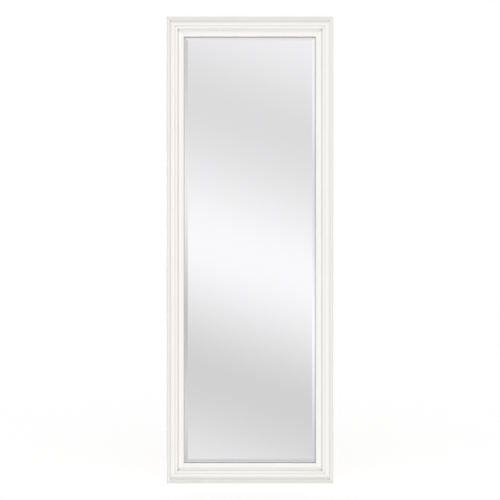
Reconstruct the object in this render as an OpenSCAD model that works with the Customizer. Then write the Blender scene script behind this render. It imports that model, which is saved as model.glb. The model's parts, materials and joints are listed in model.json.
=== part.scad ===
// Full-length floor mirror, for leaning on a wall or hanging from it.
// Mitred and stepped moulding, bevelled glass, hardboard back held by turn buttons.
// Millimetres. X runs across the mirror, Y from its face to its back, and Z up.
// The origin is on the floor, at the middle of the width and of the depth.
// Left and right are those of someone who looks into the mirror.

/* [Frame] */
// Width over the outside of the frame
frame_w = 568; // [480:1:760]
// Height of the frame, without its floor pads
frame_h = 1590; // [1300:1:1900]
// Face width of the two stiles
stile_face = 59.5; // [56:0.5:75]
// Face width of the top and bottom rails
rail_face = 69; // [60:0.5:80]
// Depth of the moulding, from its back to its crest
moulding_d = 30; // [28:0.5:36]

/* [Moulding profile, as wide as on a stile] */
// Height of the outer side wall above the back
side_h = 15.5; // [14:0.5:17]
// Width of the slope along the outer edge
slope_w = 12.5; // [9:0.5:14]
// Rise of that slope from the side wall
slope_rise = 8.5; // [6:0.5:10]
// Width of the crease inside the slope
crease_w = 1; // [0.5:0.25:1.5]
// Depth of the crease
crease_d = 1.25; // [0.75:0.25:2]
// Width of the swelling torus that rises to the crest
torus_w = 13.5; // [10:0.5:16]
// Width of the flat crest
crest_w = 2; // [1:0.25:3]
// Width of the fine groove inside the crest
groove_w = 1; // [0.5:0.25:2]
// Depth of the fine groove
groove_d = 3; // [1.5:0.25:3.5]
// How far the inner bead lies below the crest
inner_bead_drop = 1; // [0.5:0.25:1]
// Width of the inner bead
inner_bead_w = 8.5; // [6:0.5:10]
// Depth of the inner bead's rounded flank
inner_bead_roll = 3; // [2:0.5:4.5]
// Width of the quirk between the inner bead and the cove
quirk_w = 1.25; // [0.75:0.25:2]
// Depth of the quirk below the cove's edge
quirk_d = 0.75; // [0.5:0.25:1.5]
// Height of the cove's edge above the back
cove_h = 23; // [21:0.5:24]
// Height of the lip round the glass above the back
lip_h = 17; // [15:0.5:18]
// Width of the flat lip
lip_w = 6; // [3:0.5:7]
// Radius of the lip's sight edge
sight_r = 1.5; // [0.5:0.25:2]

/* [Rebate and glass] */
// Width of the rebate behind the lip
rebate_w = 8; // [6:0.5:10]
// Gap round the glass in the rebate
glass_gap = 1.5; // [1:0.25:2]
// Thickness of the glass
glass_t = 5; // [4:0.5:6]
// Thickness of the glass at its rim
glass_rim_t = 2.8; // [2:0.1:3.4]
// Width of the bevel
bevel_w = 19; // [12:0.5:25]
// Width of the felt strips on the ledge
felt_w = 4.5; // [3:0.5:5]
// Thickness of the felt strips
felt_t = 0.8; // [0.5:0.1:1.2]
// Length of each block that the glass stands on
setting_block_l = 60; // [40:5:80]
// Distance of each block's middle from the centre line
setting_block_x = 130; // [80:5:150]

/* [Back] */
// Thickness of the cushion sheet behind the glass
cushion_t = 2; // [1:0.5:3]
// Thickness of the backing board
board_t = 3; // [2.5:0.5:5]
// Gap round the backing board and the cushion sheet
board_gap = 1; // [0.5:0.25:2]

/* [Turn buttons] */
// Thickness of a turn button
button_t = 1.2; // [1:0.1:2]
// Radius of its pivot end
button_head_r = 6.5; // [5:0.5:7]
// Radius of its tip
button_tip_r = 4.5; // [3:0.5:5]
// Distance between the centres of its two ends
button_l = 27; // [22:1:30]
// Radius of the rib pressed along it
button_rib_r = 0.9; // [0.6:0.1:1]
// Distance from a pivot to the edge of the rebate
button_inset = 8; // [7:0.5:10]
// Distance from the frame's ends to the nearest buttons on a stile
button_end = 195; // [150:5:200]

/* [Corner plates and mitre nails] */
// Length of each leg of a corner plate
plate_leg = 70; // [56:1:80]
// Width of each leg
plate_w = 16; // [12:0.5:18]
// Thickness of a corner plate
plate_t = 1.5; // [1:0.25:2.5]
// Distance from the frame's outer edges to a corner plate
plate_inset = 22; // [20:0.5:24]
// Distance between the two screws in a leg
plate_screw_pitch = 28; // [20:1:30]
// Length of each arm of a mitre nail
nail_arm = 5; // [3:0.5:6]
// Thickness of a mitre nail
nail_t = 0.5; // [0.4:0.1:0.8]
// Width of a mitre nail, along which it is driven
nail_w = 10; // [7:0.5:12]
// Distance from the frame's side to the outer nail of a mitre
nail_outer = 20; // [17:0.5:21]
// Distance from the frame's side to the inner nail of a mitre
nail_inner = 45; // [40:0.5:46]

/* [Hangers] */
// Radius of a ring's wire
wire_r = 1.5; // [1:0.1:1.8]
// Half the width of a ring, to the middle of its wire
ring_half_w = 12.5; // [11:0.5:14]
// Radius of the bends at a ring's straight bar
ring_bend_r = 3; // [2.5:0.25:3.5]
// Length of a ring's straight sides
ring_side_l = 1; // [0.5:0.25:3]
// Width of a hanger strap
strap_w = 14; // [10:0.5:15]
// Thickness of a hanger strap
strap_t = 1.2; // [1:0.1:1.5]
// Length of a hanger strap from the pivot to its far end
strap_l = 46; // [44:1:54]
// Distance from the far end of a strap to its nearer screw
strap_screw_end = 8; // [6:0.5:9]
// Distance between the two screws in a strap
strap_screw_pitch = 13; // [10:0.5:14]
// Distance from the frame's outer edge to the middle of a strap
hanger_inset = 26; // [22:0.5:28]
// Distance from the frame's top down to the upright hangers
hanger_drop = 400; // [380:5:410]
// Distance from the frame's right side to the sideways hangers
hanger_side = 150; // [140:5:155]

/* [Screws] */
// Diameter of the screws
screw_d = 3.5; // [3:0.1:3.8]
// Diameter of their pan heads
head_d = 7; // [6:0.25:7.5]
// Height of the heads
head_h = 2.4; // [2:0.1:2.8]
// Height of the heads' straight rim
head_rim_h = 0.9; // [0.5:0.1:1.2]
// Width of the slots of the cross recess
recess_w = 0.9; // [0.6:0.1:1.2]
// Length of those slots
recess_l = 3.8; // [3:0.1:4.4]
// Depth of the recess
recess_d = 1.3; // [1:0.1:1.6]
// Length of the screws under the head
screw_l = 14; // [10:0.5:15]
// Length of their pointed ends
screw_tip_l = 3.5; // [2:0.5:5]
// Diameter of the plain holes in plates, straps and buttons
plain_hole_d = 4.1; // [4:0.1:4.4]

/* [Rubber] */
// Height of the wall bumpers
bumper_h = 6.5; // [6.5:0.5:9]
// Diameter of a bumper where it sits on the frame
bumper_d = 15; // [12:0.5:17]
// Diameter of its flat end
bumper_end_d = 11; // [8:0.5:11.5]
// Distance from the frame's outer edges to the middle of a bumper
bumper_inset = 11; // [9:0.5:12]
// Thickness of the floor pads
pad_t = 2; // [1:0.5:4]
// Width of the floor pads, across the mirror
pad_l = 70; // [40:5:100]
// Depth of the floor pads, from front to back
pad_d = 13; // [10:0.5:14]
// Distance from the frame's sides to the middle of a pad
pad_inset = 75; // [60:5:110]

/* [Hidden] */
$fn = 48;

// Clearances
seat_gap = 0.05;    // round what is driven into the wood, and over the slope of the bevel
button_gap = 0.2;   // under a turn button and under its screw's head
board_recess = 0.1; // of the backing board below the back of the frame
pivot_gap = 0.15;   // between a ring's bar and the loop of its strap
loop_lift = 0.1;    // of a strap's loop above the wood
nail_sink = 0.3;    // of the mitre nails below the wood's surface
cut = 1;            // how far a cutting shape runs past the face that it opens
mitre_over = 0.1;   // the same for the mitre planes, as a share of the face width
cove_turn = 40;     // angle between the cove's steep start and upright

// Main planes
back_y = (moulding_d - bumper_h) / 2;
base_z = pad_t;
mid_z = base_z + frame_h / 2;

// The rebate: its outline, and its layers as heights above the back of the frame
rebate_x = frame_w / 2 - stile_face + rebate_w;
rebate_z = frame_h / 2 - rail_face + rebate_w;
cushion_v = board_recess + board_t;
glass_v = cushion_v + cushion_t;
bevel_rise = glass_t - glass_rim_t;
felt_v = glass_v + glass_rim_t + bevel_rise * (felt_w - glass_gap) / bevel_w + seat_gap;
ledge_v = felt_v + felt_t;

// Hangers
loop_r = wire_r + pivot_gap;
pivot_v = strap_t + loop_lift + loop_r;
strap_screws = [strap_l - strap_screw_end, strap_l - strap_screw_end - strap_screw_pitch];

// Corner plates
plate_line = plate_inset + plate_w / 2;
plate_reach = plate_leg - plate_w;
plate_screws = [plate_reach, plate_reach - plate_screw_pitch];

// Places on the back, each with its name. The sign gives the side of the middle.
SIDES = [["left", -1], ["right", 1]];
ENDS = [["top", 1], ["bottom", -1]];
CORNERS = [for (e = ENDS, s = SIDES) [str(e[0], "_", s[0]), s[1], e[1]]];

// Turn buttons: name, X, Z, and the way it points at rest
STILE_BUTTONS = 4;
first_button = frame_h / 2 - button_end;
button_pitch = 2 * first_button / (STILE_BUTTONS - 1);
BUTTONS = concat(
    [for (s = SIDES, i = [0 : STILE_BUTTONS - 1]) [
        str(s[0], "_", i + 1),
        s[1] * (rebate_x + button_inset),
        mid_z + first_button - i * button_pitch,
        s[1] > 0 ? 0 : 180
    ]],
    [for (e = ENDS) [e[0], 0, mid_z + e[1] * (rebate_z + button_inset), -90 * e[1]]]
);

// Hangers: name, X and Z of the pivot, and the turn from upright
HANGERS = concat(
    [for (s = SIDES) [
        str("upright_", s[0]),
        s[1] * (frame_w / 2 - hanger_inset),
        mid_z + frame_h / 2 - hanger_drop,
        0
    ]],
    [for (e = ENDS) [
        str("sideways_", e[0]),
        frame_w / 2 - hanger_side,
        mid_z + e[1] * (frame_h / 2 - hanger_inset),
        90
    ]]
);

// Points on an arc of an ellipse with centre c and radii r, from angle a to angle b
function arc(c, r, a, b, steps) =
    [for (i = [0 : steps]) let (t = a + (b - a) * i / steps) c + [r[0] * cos(t), r[1] * sin(t)]];

// The moulding's section: across it from the outer edge, and up from its back
function moulding_section() =
    let (
        slope_h = side_h + slope_rise,
        crease_h = slope_h - crease_d,
        torus_start = slope_w + crease_w,
        crest_start = torus_start + torus_w,
        groove_start = crest_start + crest_w,
        inner_start = groove_start + groove_w,
        inner_end = inner_start + inner_bead_w,
        inner_flank_h = moulding_d - inner_bead_drop - inner_bead_roll,
        quirk_h = cove_h - quirk_d,
        cove_start = inner_end + quirk_w,
        lip_start = stile_face - lip_w,
        cove_rx = (lip_start - cove_start) / cos(cove_turn),
        cove_ry = (cove_h - lip_h) / (1 - sin(cove_turn))
    )
    concat(
        [[0, 0], [0, side_h], [slope_w, slope_h], [slope_w, crease_h]],
        arc([crest_start, crease_h], [torus_w, moulding_d - crease_h], 180, 90, 12),
        [[groove_start, moulding_d], [groove_start, moulding_d - groove_d]],
        [[inner_start, moulding_d - groove_d]],
        arc([inner_start, inner_flank_h], [inner_bead_w, inner_bead_roll], 90, 0, 8),
        [[inner_end, quirk_h], [cove_start, quirk_h]],
        arc([lip_start, lip_h + cove_ry], [cove_rx, cove_ry], 180 + cove_turn, 270, 8),
        arc([stile_face - sight_r, lip_h - sight_r], [sight_r, sight_r], 90, 0, 4),
        [[stile_face, 0]]
    );

// A length of moulding that stands on Z. Its outer edge is on the Z axis, its back on the
// XZ plane and its face towards -Y. The section is stretched across to the face width.
module moulding(length, face) {
    section = [for (p = moulding_section()) [p[0] * face / stile_face, -p[1]]];
    linear_extrude(length) polygon(section);
}

// A point on the mitre line of a corner, from the middle of the frame. A share of 0 is
// the outer corner and 1 the corner of the sight opening.
function mitre_point(x_side, z_side, share) =
    [x_side * (frame_w / 2 - share * stile_face), z_side * (frame_h / 2 - share * rail_face)];

// Keeps what lies between the mitre planes of two corners
module mitred(corner_a, corner_b) {
    outline = [
        mitre_point(corner_a[0], corner_a[1], -mitre_over),
        mitre_point(corner_b[0], corner_b[1], -mitre_over),
        mitre_point(corner_b[0], corner_b[1], 1 + mitre_over),
        mitre_point(corner_a[0], corner_a[1], 1 + mitre_over)
    ];
    intersection() {
        children();
        translate([0, back_y + cut, mid_z]) rotate([90, 0, 0])
            linear_extrude(moulding_d + 2 * cut) polygon(outline);
    }
}

// Places its children at a point of the frame's back. There Z points away from the
// mirror, Y up, and X to the right for someone who looks at the back.
module on_back(x, z) {
    translate([x, back_y, z]) rotate([90, 0, 180]) children();
}

// Places its children at an outer corner of the back. There X and Y run inwards along the
// frame's edges and Z points away from the mirror.
module at_corner(corner) {
    translate([corner[1] * frame_w / 2, back_y, mid_z + corner[2] * frame_h / 2])
        mirror([corner[1] > 0 ? 1 : 0, 0, 0]) mirror([0, 0, corner[2] > 0 ? 1 : 0])
            rotate([90, 0, 0]) mirror([0, 0, 1]) children();
}

// The screws' places in a corner plate: two in each leg
module at_plate_screws(corner) {
    at_corner(corner) for (d = plate_screws) {
        translate([plate_line, plate_line + d, 0]) children();
        translate([plate_line + d, plate_line, 0]) children();
    }
}

module at_hanger(hanger) {
    on_back(hanger[1], hanger[2]) rotate(hanger[3]) children();
}

module at_hanger_screws(hanger) {
    at_hanger(hanger) for (d = strap_screws) translate([0, -d, 0]) children();
}

// A screw whose head bears on something at this height above the back
module screw(seat_v) {
    dome = arc([0, head_rim_h], [head_d / 2, head_h - head_rim_h], 0, 90, 6);
    translate([0, 0, seat_v]) difference() {
        rotate_extrude() polygon(concat([[0, 0], [head_d / 2, 0]], dome));
        for (turn = [0, 90]) rotate(turn)
            translate([-recess_l / 2, -recess_w / 2, head_h - recess_d])
                cube([recess_l, recess_w, recess_d + cut]);
    }
    translate([0, 0, seat_v - screw_l + screw_tip_l]) cylinder(d = screw_d, h = screw_l - screw_tip_l);
    translate([0, 0, seat_v - screw_l]) cylinder(d1 = 0, d2 = screw_d, h = screw_tip_l);
}

module pilot_hole() {
    translate([0, 0, -screw_l]) cylinder(d = screw_d + 2 * seat_gap, h = screw_l + cut);
}

// A hole through sheet metal that lies on the back
module plain_hole(sheet_t) {
    translate([0, 0, -cut]) cylinder(d = plain_hole_d, h = sheet_t + 2 * cut);
}

// The two arms of a mitre nail, from their corner back towards the frame's outer corner.
// The gap is added all round.
module nail_section(gap) {
    for (turn = [135, 225]) rotate(turn)
        translate([-nail_t / 2 - gap, -nail_t / 2 - gap]) square([nail_arm + 2 * gap, nail_t + 2 * gap]);
}

// The mitre nails' places in a corner, with X along the mitre
module at_nails(corner) {
    at_corner(corner) for (d = [nail_outer, nail_inner])
        translate([d, d * rail_face / stile_face, 0]) rotate(atan2(rail_face, stile_face)) children();
}

// Everything that is cut out of the four members from behind
module cuts_from_behind() {
    translate([-rebate_x, back_y - ledge_v, mid_z - rebate_z])
        cube([2 * rebate_x, ledge_v + cut, 2 * rebate_z]);
    for (b = BUTTONS) on_back(b[1], b[2]) pilot_hole();
    for (h = HANGERS) at_hanger_screws(h) pilot_hole();
    for (c = CORNERS) {
        at_plate_screws(c) pilot_hole();
        at_nails(c) translate([0, 0, -nail_sink - nail_w - seat_gap])
            linear_extrude(nail_w + nail_sink + seat_gap + cut) nail_section(seat_gap);
    }
}

// A rail at the bottom, or with z_side 1 at the top
module rail(z_side) {
    color("#f4f3ef") difference() {
        mitred([-1, z_side], [1, z_side])
            translate([0, 0, mid_z]) mirror([0, 0, z_side > 0 ? 1 : 0])
                translate([frame_w / 2, back_y, -frame_h / 2]) rotate([0, -90, 0])
                    moulding(frame_w, rail_face);
        cuts_from_behind();
    }
}

// A stile on the left, or with x_side 1 on the right
module stile(x_side) {
    color("#f7f6f2") difference() {
        mitred([x_side, -1], [x_side, 1])
            mirror([x_side > 0 ? 1 : 0, 0, 0]) translate([-frame_w / 2, back_y, base_z])
                moulding(frame_h, stile_face);
        cuts_from_behind();
    }
}

module mitre_nails() {
    color("gray") for (c = CORNERS)
        at_nails(c) translate([0, 0, -nail_sink - nail_w]) linear_extrude(nail_w) nail_section(0);
}

// The glass's section across one of its sizes, with its back on X and its face towards -Y
module glass_section(size) {
    half = size / 2;
    polygon([
        [-half, 0], [half, 0], [half, -glass_rim_t], [half - bevel_w, -glass_t],
        [bevel_w - half, -glass_t], [-half, -glass_rim_t]
    ]);
}

// The pane is what two bevelled sections, one across and one upright, have in common
module mirror_glass() {
    glass_w = 2 * (rebate_x - glass_gap);
    glass_h = 2 * (rebate_z - glass_gap);
    color("lightsteelblue") translate([0, back_y - glass_v, mid_z]) intersection() {
        linear_extrude(glass_h, center = true) glass_section(glass_w);
        rotate([0, 90, 0]) linear_extrude(glass_w, center = true) glass_section(glass_h);
    }
}

// Felt on the ledge along a rail, from one side of the rebate to the other
module felt_along_rail(z_side) {
    color("dimgray")
        translate([-rebate_x, back_y - ledge_v, mid_z + z_side * (rebate_z - felt_w / 2) - felt_w / 2])
            cube([2 * rebate_x, felt_t, felt_w]);
}

// Felt on the ledge along a stile, between the other two strips
module felt_along_stile(x_side) {
    color("dimgray")
        translate([x_side * (rebate_x - felt_w / 2) - felt_w / 2, back_y - ledge_v, mid_z - rebate_z + felt_w])
            cube([felt_w, felt_t, 2 * (rebate_z - felt_w)]);
}

module setting_blocks() {
    color("black") for (s = SIDES)
        translate([
            s[1] * setting_block_x - setting_block_l / 2, back_y - glass_v - glass_rim_t, mid_z - rebate_z
        ])
            cube([setting_block_l, glass_rim_t, glass_gap]);
}

// A sheet in the rebate, between two heights above the back
module rebate_sheet(low_v, high_v) {
    half_w = rebate_x - board_gap;
    half_h = rebate_z - board_gap;
    translate([-half_w, back_y - high_v, mid_z - half_h]) cube([2 * half_w, high_v - low_v, 2 * half_h]);
}

module cushion_sheet() {
    color("burlywood") rebate_sheet(cushion_v, glass_v);
}

module backing_board() {
    color("saddlebrown") rebate_sheet(board_recess, cushion_v);
}

// A flat steel pointer with a rib. It turns on its screw at the origin and points along X.
module turn_button(place) {
    flank = acos((button_head_r - button_tip_r) / button_l);
    outline = concat(
        arc([0, 0], [button_head_r, button_head_r], flank, 360 - flank, 18),
        arc([button_l, 0], [button_tip_r, button_tip_r], -flank, flank, 12)
    );
    rib_start = head_d / 2 + 2 * button_rib_r;
    color("silver") on_back(place[1], place[2]) rotate(place[3]) translate([0, 0, button_gap]) {
        difference() {
            linear_extrude(button_t) polygon(outline);
            plain_hole(button_t);
        }
        translate([rib_start, 0, button_t]) rotate([0, 90, 0])
            cylinder(r = button_rib_r, h = button_l - rib_start);
        for (x = [rib_start, button_l]) translate([x, 0, button_t]) sphere(r = button_rib_r);
    }
}

module turn_button_screws() {
    color("silver") for (b = BUTTONS) on_back(b[1], b[2]) screw(button_t + 2 * button_gap);
}

// One leg of a corner plate along X, round at both ends
module plate_leg_outline() {
    end_r = plate_w / 2;
    polygon(concat(
        arc([0, 0], [end_r, end_r], 90, 270, 16),
        arc([plate_reach, 0], [end_r, end_r], -90, 90, 16)
    ));
}

module corner_plate(corner) {
    color("silver") difference() {
        at_corner(corner) translate([plate_line, plate_line, 0]) linear_extrude(plate_t) {
            plate_leg_outline();
            rotate(90) plate_leg_outline();
        }
        at_plate_screws(corner) plain_hole(plate_t);
    }
}

module corner_plate_screws() {
    color("silver") for (c = CORNERS) at_plate_screws(c) screw(plate_t);
}

// A steel strap along -Y that is rolled at its end round the ring's bar
module hanger_strap(hanger) {
    end_y = strap_w / 2 - strap_l;
    color("silver") difference() {
        at_hanger(hanger) {
            linear_extrude(strap_t) polygon(concat(
                [[strap_w / 2, 0], [-strap_w / 2, 0]],
                arc([0, end_y], [strap_w / 2, strap_w / 2], 180, 360, 16)
            ));
            translate([-strap_w / 2, 0, pivot_v]) rotate([0, 90, 0])
                cylinder(r = loop_r + strap_t, h = strap_w);
        }
        at_hanger(hanger) translate([-strap_w / 2 - cut, 0, pivot_v]) rotate([0, 90, 0])
            cylinder(r = loop_r, h = strap_w + 2 * cut);
        at_hanger_screws(hanger) plain_hole(strap_t);
    }
}

// A D of round wire. At rest it is folded down over its strap.
module hanger_ring(hanger) {
    bar_half = ring_half_w - ring_bend_r;
    color("silver") at_hanger(hanger) translate([0, 0, pivot_v]) {
        translate([-bar_half, 0, 0]) rotate([0, 90, 0]) cylinder(r = wire_r, h = 2 * bar_half);
        for (m = [0, 1]) mirror([m, 0, 0]) {
            translate([bar_half, -ring_bend_r, 0]) rotate_extrude(angle = 90)
                translate([ring_bend_r, 0]) circle(r = wire_r);
            translate([ring_half_w, -ring_bend_r, 0]) rotate([90, 0, 0])
                cylinder(r = wire_r, h = ring_side_l);
        }
        translate([0, -ring_bend_r - ring_side_l, 0]) rotate(180) rotate_extrude(angle = 180)
            translate([ring_half_w, 0]) circle(r = wire_r);
    }
}

module hanger_screws() {
    color("silver") for (h = HANGERS) at_hanger_screws(h) screw(strap_t);
}

// A rubber stud stuck to the back, which keeps the frame off the wall
module wall_bumper(corner) {
    edge_r = (bumper_d - bumper_end_d) / 2;
    side = arc([bumper_end_d / 2, 0], [edge_r, bumper_h], 0, 90, 8);
    color("#555555") at_corner(corner) translate([bumper_inset, bumper_inset, 0])
        rotate_extrude() polygon(concat([[0, 0]], side, [[0, bumper_h]]));
}

// A rubber pad stuck under the bottom rail
module floor_pad(x_side) {
    color("gainsboro")
        translate([x_side * (frame_w / 2 - pad_inset) - pad_l / 2, back_y - side_h / 2 - pad_d / 2, 0])
            cube([pad_l, pad_d, pad_t]);
}

rail(1);  // top_rail
rail(-1);  // bottom_rail
stile(-1);  // left_stile
stile(1);  // right_stile
mitre_nails();
mirror_glass();
for (e = ENDS)
    felt_along_rail(e[1]);
for (s = SIDES)
    felt_along_stile(s[1]);
setting_blocks();
cushion_sheet();
backing_board();
for (b = BUTTONS)
    turn_button(b);
turn_button_screws();
for (c = CORNERS)
    corner_plate(c);
corner_plate_screws();
for (h = HANGERS)
    hanger_strap(h);
for (h = HANGERS)
    hanger_ring(h);
hanger_screws();
for (c = CORNERS)
    wall_bumper(c);
for (s = SIDES)
    floor_pad(s[1]);
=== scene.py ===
import json
import math
import random
from itertools import product
import bmesh
import bpy
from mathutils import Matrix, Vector
from mathutils.geometry import tessellate_polygon


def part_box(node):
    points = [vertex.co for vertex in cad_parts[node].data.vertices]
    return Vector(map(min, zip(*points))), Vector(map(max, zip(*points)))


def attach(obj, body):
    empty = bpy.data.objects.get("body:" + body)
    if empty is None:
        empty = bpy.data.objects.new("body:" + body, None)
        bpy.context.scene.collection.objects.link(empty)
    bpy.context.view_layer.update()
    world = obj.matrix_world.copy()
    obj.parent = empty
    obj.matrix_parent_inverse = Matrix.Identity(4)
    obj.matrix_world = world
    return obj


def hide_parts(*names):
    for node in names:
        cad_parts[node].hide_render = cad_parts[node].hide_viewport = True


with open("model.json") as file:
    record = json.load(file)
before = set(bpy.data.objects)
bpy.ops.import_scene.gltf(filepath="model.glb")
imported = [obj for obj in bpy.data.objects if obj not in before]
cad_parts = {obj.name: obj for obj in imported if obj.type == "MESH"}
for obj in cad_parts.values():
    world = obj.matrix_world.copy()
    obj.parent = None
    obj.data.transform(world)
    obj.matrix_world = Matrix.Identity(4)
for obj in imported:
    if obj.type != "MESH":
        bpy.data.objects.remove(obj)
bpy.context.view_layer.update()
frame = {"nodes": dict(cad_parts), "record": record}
nodes = frame["nodes"]

# Camera, straight in front of the mirror at half its height, as far away as a studio allows.
# The picture is 500 px square and the frame stands 466.7 px high in it.
frame_low, frame_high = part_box("left_stile")
frame_height = frame_high.z - frame_low.z
back_plane = frame_high.y
middle_height = (frame_low.z + frame_high.z) / 2
camera_distance = 4.0
picture_px = 500
frame_height_px = 466.7
frame_middle_px = 249.85
outer_edge_height = 0.0155  # above the back, of the edge that makes the outline in the picture
px = frame_height / frame_height_px
outline_distance = camera_distance + back_plane - outer_edge_height
camera_data = bpy.data.cameras.new("camera")
camera_data.sensor_width = 36
camera_data.lens = camera_data.sensor_width * outline_distance / (picture_px * px)
camera_data.clip_end = 60
camera = bpy.data.objects.new("camera", camera_data)
camera.location = (0, -camera_distance, middle_height - (picture_px / 2 - frame_middle_px) * px)
camera.rotation_euler = (math.radians(90), 0, 0)
bpy.context.scene.collection.objects.link(camera)
bpy.context.scene.camera = camera
bpy.context.scene.view_settings.view_transform = "Standard"


# The four lengths of moulding, two rails and two stiles. Each is pine, planed to one stepped
# section, mitred, glued, and sprayed with satin white lacquer. The rebate is painted dark, so
# that the glass doesn't mirror bare wood, and the back is left bare.
frame_width = 2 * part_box("right_stile")[1].x
stile_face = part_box("left_stile")[1].x - frame_low.x
rail_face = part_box("bottom_rail")[1].z - frame_low.z
crest_height = back_plane - frame_low.y
ledge_height = back_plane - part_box("felt_strip_left")[0].y
rebate_width = 0.008
mitre_hairline = 0.00004    # a member stops this short of its mitre


def finish_mesh(mesh, name):
    """Turns the built mesh into a piece of the scene."""
    bmesh.ops.recalc_face_normals(mesh, faces=mesh.faces)
    data = bpy.data.meshes.new(name)
    mesh.to_mesh(data)
    mesh.free()
    piece = bpy.data.objects.new(name, data)
    bpy.context.scene.collection.objects.link(piece)
    return piece


def join_rows(mesh, here, there, smooth=False, closed=True):
    """Joins two rows of points by a strip of faces, back to the first points if it is closed."""
    count = len(here)
    strip = []
    for i in range(count if closed else count - 1):
        j = (i + 1) % count
        face = mesh.faces.new((here[i], here[j], there[j], there[i]))
        face.smooth = smooth
        strip.append(face)
    return strip


def arc(centre, radii, start, end, steps):
    """Points on an arc of an ellipse, from one angle to another, in degrees."""
    angles = [math.radians(start + (end - start) * i / steps) for i in range(steps + 1)]
    return [(centre[0] + radii[0] * math.cos(a), centre[1] + radii[1] * math.sin(a)) for a in angles]


def soften(points, radius, least_turn=22, steps=4):
    """Rounds the sharp corners of an open outline, each within half of its shorter side."""
    softened = [points[0]]
    for before, here, after in zip(points, points[1:], points[2:]):
        back = Vector(before) - Vector(here)
        on = Vector(after) - Vector(here)
        if 180 - math.degrees(back.angle(on)) < least_turn:
            softened.append(here)
            continue
        reach = min(radius, back.length * 0.45, on.length * 0.45)
        start = Vector(here) + back.normalized() * reach
        end = Vector(here) + on.normalized() * reach
        for i in range(steps + 1):
            t = i / steps
            softened.append(tuple((1 - t) ** 2 * start + 2 * t * (1 - t) * Vector(here) + t ** 2 * end))
    softened.append(points[-1])
    return softened


def painted_outline(lacquer_ends):
    """The lacquered part of the section: across from the outer edge, and up from the back."""
    slope_width = 0.0125
    slope_top = outer_edge_height + 0.0085
    slope_bulge = 0.0004
    crease = slope_top - 0.00125
    torus_start = slope_width + 0.001
    crest_start = torus_start + 0.0135
    groove_start = crest_start + 0.002
    groove_floor = crest_height - 0.003
    bead_start = groove_start + 0.001
    bead_end = bead_start + 0.0085
    bead_roll = 0.003
    bead_flank = crest_height - 0.001 - bead_roll
    cove_edge = 0.023
    quirk_floor = cove_edge - 0.00075
    cove_start = bead_end + 0.00125
    cove_turn = 40              # degrees from the cove's edge to level
    lip_start = stile_face - 0.006
    lip_height = 0.017
    cove_wide = (lip_start - cove_start) / math.cos(math.radians(cove_turn))
    cove_deep = (cove_edge - lip_height) / (1 - math.sin(math.radians(cove_turn)))
    sight_radius = 0.0015
    rounding = 0.0003
    points = [(0, 0), (0, outer_edge_height - 0.001), (0, outer_edge_height)]
    for t in (0.14, 0.32, 0.46, 0.66, 0.78, 0.92):
        bulge = slope_bulge * 4 * t * (1 - t)
        points.append((slope_width * t, outer_edge_height + (slope_top - outer_edge_height) * t + bulge))
    points += [(slope_width, slope_top), (slope_width, crease)]
    points += arc((crest_start, crease), (crest_start - torus_start, crest_height - crease), 180, 90, 28)
    points += [(groove_start, crest_height), (groove_start, groove_floor), (bead_start, groove_floor)]
    points += arc((bead_start, bead_flank), (bead_end - bead_start, bead_roll), 90, 0, 22)
    points += [(bead_end, quirk_floor), (cove_start, quirk_floor)]
    points += arc((lip_start, lip_height + cove_deep), (cove_wide, cove_deep), 180 + cove_turn, 270, 20)
    sight_centre = (stile_face - sight_radius, lip_height - sight_radius)
    points += arc(sight_centre, (sight_radius, sight_radius), 90, 0, 8)
    points += [(stile_face, lacquer_ends)]
    return soften(points, rounding)


def hollow_at(outline, i, near=0.0035, deep=0.0015):
    """How far a point of the outline lies down a crease between its neighbours, from 0 to 1."""
    across, height = outline[i]
    before = max((h for a, h in outline if across - near < a <= across), default=height)
    after = max((h for a, h in outline if across <= a < across + near), default=height)
    return min(1.0, max(0.0, min(before, after) - height) / deep)


# Painted shade on the face, darker on the rails where less light falls: a distance from the outer edge, and
# how much is there
# Painted shade for the rails, whose slopes and flanks face up or down, away from the light
rail_painted_shade = [
    (0, 0.10), (0.003, 0.28), (0.006, 0.34), (0.008, 0.28), (0.012, 0.28), (0.014, 0.45),
    (0.0165, 0.48), (0.019, 0.56), (0.0215, 0.44), (0.0235, 0.08), (0.0285, 0.02), (0.029, 0.4),
    (0.030, 0.7), (0.0305, 0.16), (0.0405, 0.05), (0.0415, 0.22), (0.044, 0.34), (0.047, 0.30),
    (0.050, 0.17), (0.0575, 0.10),
]
# Painted shade for the stiles, darkest at the outer edge and in the quirk
stile_painted_shade = [
    (0, 0.85), (0.004, 0.85), (0.0058, 0.38), (0.0085, 0.42), (0.010, 0.60), (0.012, 0.60),
    (0.015, 0.48), (0.018, 0.24), (0.023, 0.15), (0.025, 0), (0.0285, 0), (0.029, 0.7),
    (0.030, 0.7), (0.0303, 0), (0.0384, 0), (0.0385, 1.7), (0.0398, 1.7), (0.0403, 1.1),
    (0.0408, 0), (0.0576, 0),
]


def painted_face_shade(across, height, along_rail, sight_edge_shade):
    """How much painted shade lies at a point of the face, with its own amount at the sight edge."""
    if height < outer_edge_height - 0.0005:
        return 0
    places = (rail_painted_shade if along_rail else stile_painted_shade) + [(0.0585, sight_edge_shade), (0.060, sight_edge_shade)]
    for (start, there), (end, then) in zip(places, places[1:]):
        if start <= across < end:
            return there + (then - there) * (across - start) / (end - start)
    return 0


def gathered_dust(across, joint):
    """The dark spots where the crease and the quirk meet the mitre."""
    crease_middle, crease_amount = 0.0145, 0.5
    quirk_middle, quirk_amount = 0.0400, 1.3
    reach = 0.005
    at_crease = max(0, 1 - abs(across - crease_middle) / reach)
    at_quirk = max(0, 1 - abs(across - quirk_middle) / reach)
    return joint * (crease_amount * at_crease + quirk_amount * at_quirk)


def mitre_end(across, end_x, end_z, along_rail, inwards):
    """Where a line of the moulding meets a mitre, or a point so far inwards from there."""
    share = across / stile_face
    x = end_x * (frame_width / 2 - share * stile_face)
    z = end_z * (frame_height / 2 - share * rail_face)
    if along_rail:
        return x - end_x * (mitre_hairline + inwards), middle_height + z
    return x, middle_height + z - end_z * (mitre_hairline + inwards)


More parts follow.
